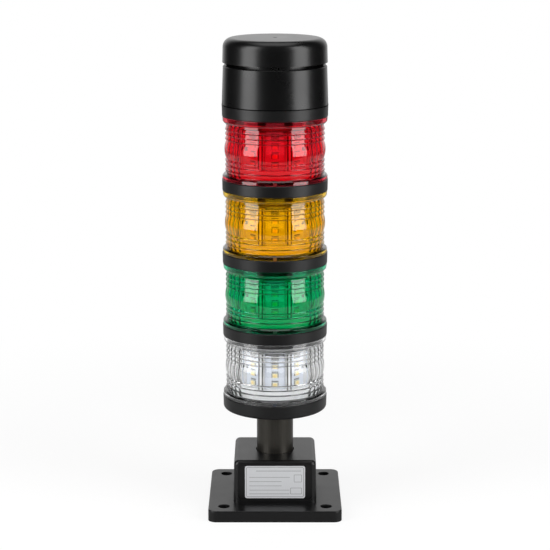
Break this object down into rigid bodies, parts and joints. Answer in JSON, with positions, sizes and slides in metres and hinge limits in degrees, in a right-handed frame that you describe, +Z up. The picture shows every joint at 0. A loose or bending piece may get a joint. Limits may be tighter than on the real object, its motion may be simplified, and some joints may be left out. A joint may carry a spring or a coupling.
{
  "type": "stack light",
  "caption": "Signal tower on a square bolt-down foot: short pole, stacked twist-lock light modules in clear, green, amber and red, and a black sounder with a rounded cap.",
  "frame": {"origin": "middle of the foot's underside, on the mounting surface", "axes": "+Z up along the pole and the tower's axis; -Y is the front, where the label and the lenses' marks are; +X to the right seen from the front"},
  "size_m": [0.0888, 0.0888, 0.316],
  "materials": {
    "foot_black": "satin black, fine grain",
    "ring_black": "satin black",
    "sounder_black": "smooth satin black",
    "pole_finish": "dark satin paint on aluminium tube",
    "nut_steel": "zinc plated",
    "seal_rubber": "matt",
    "label_silver": "satin silver film",
    "board_green": "circuit board",
    "led_board": "white circuit board",
    "led_yellow": "phosphor",
    "contact_brass": "plated",
    "terminal_body": "moulded",
    "inner_white": "moulded white",
    "buzzer_black": "moulded",
    "lens_clear": "clear polycarbonate",
    "lens_green": "transparent green polycarbonate",
    "lens_amber": "transparent amber polycarbonate",
    "lens_red": "transparent red polycarbonate"
  },
  "bodies": {
    "foot": {"mounting_base": "foot_black", "base_gasket": "seal_rubber", "nameplate": "label_silver", "pole": "pole_finish", "pole_lock_nut": "nut_steel", "pole_seal": "seal_rubber", "terminal_base": "ring_black", "terminal_board": "board_green", "terminal_block": "terminal_body", "terminal_screws": "nut_steel", "terminal_seal": "seal_rubber"},
    "clear_module": {"clear_base": "inner_white", "clear_pin_board": "board_green", "clear_pins": "contact_brass", "clear_led_tower": "inner_white", "clear_led_boards": "led_board", "clear_leds": "led_yellow", "clear_lens": "lens_clear", "clear_collar": "ring_black", "clear_contact_plate": "board_green", "clear_seal": "seal_rubber"},
    "green_module": {"green_base": "inner_white", "green_pin_board": "board_green", "green_pins": "contact_brass", "green_led_tower": "inner_white", "green_led_boards": "led_board", "green_leds": "led_yellow", "green_lens": "lens_green", "green_collar": "ring_black", "green_contact_plate": "board_green", "green_seal": "seal_rubber"},
    "amber_module": {"amber_base": "inner_white", "amber_pin_board": "board_green", "amber_pins": "contact_brass", "amber_led_tower": "inner_white", "amber_led_boards": "led_board", "amber_leds": "led_yellow", "amber_lens": "lens_amber", "amber_collar": "ring_black", "amber_contact_plate": "board_green", "amber_seal": "seal_rubber"},
    "red_module": {"red_base": "inner_white", "red_pin_board": "board_green", "red_pins": "contact_brass", "red_led_tower": "inner_white", "red_led_boards": "led_board", "red_leds": "led_yellow", "red_lens": "lens_red", "red_collar": "ring_black", "red_contact_plate": "board_green", "red_seal": "seal_rubber"},
    "sounder_module": {"sounder_base": "inner_white", "sounder_pin_board": "board_green", "sounder_pins": "contact_brass", "sounder_board": "board_green", "buzzer": "buzzer_black", "sounder_housing": "sounder_black", "sounder_cap": "sounder_black"}
  },
  "joints": [
    {"name": "clear_twist", "type": "hinge", "parent": "foot", "child": "clear_module", "pos_m": [0, 0, 0.0767], "axis": [0, 0, 1], "range_deg": [0, 30]},
    {"name": "green_twist", "type": "hinge", "parent": "clear_module", "child": "green_module", "pos_m": [0, 0, 0.1257], "axis": [0, 0, 1], "range_deg": [0, 30]},
    {"name": "amber_twist", "type": "hinge", "parent": "green_module", "child": "amber_module", "pos_m": [0, 0, 0.1747], "axis": [0, 0, 1], "range_deg": [0, 30]},
    {"name": "red_twist", "type": "hinge", "parent": "amber_module", "child": "red_module", "pos_m": [0, 0, 0.2237], "axis": [0, 0, 1], "range_deg": [0, 30]},
    {"name": "sounder_twist", "type": "hinge", "parent": "red_module", "child": "sounder_module", "pos_m": [0, 0, 0.2727], "axis": [0, 0, 1], "range_deg": [0, 30]}
  ]
}
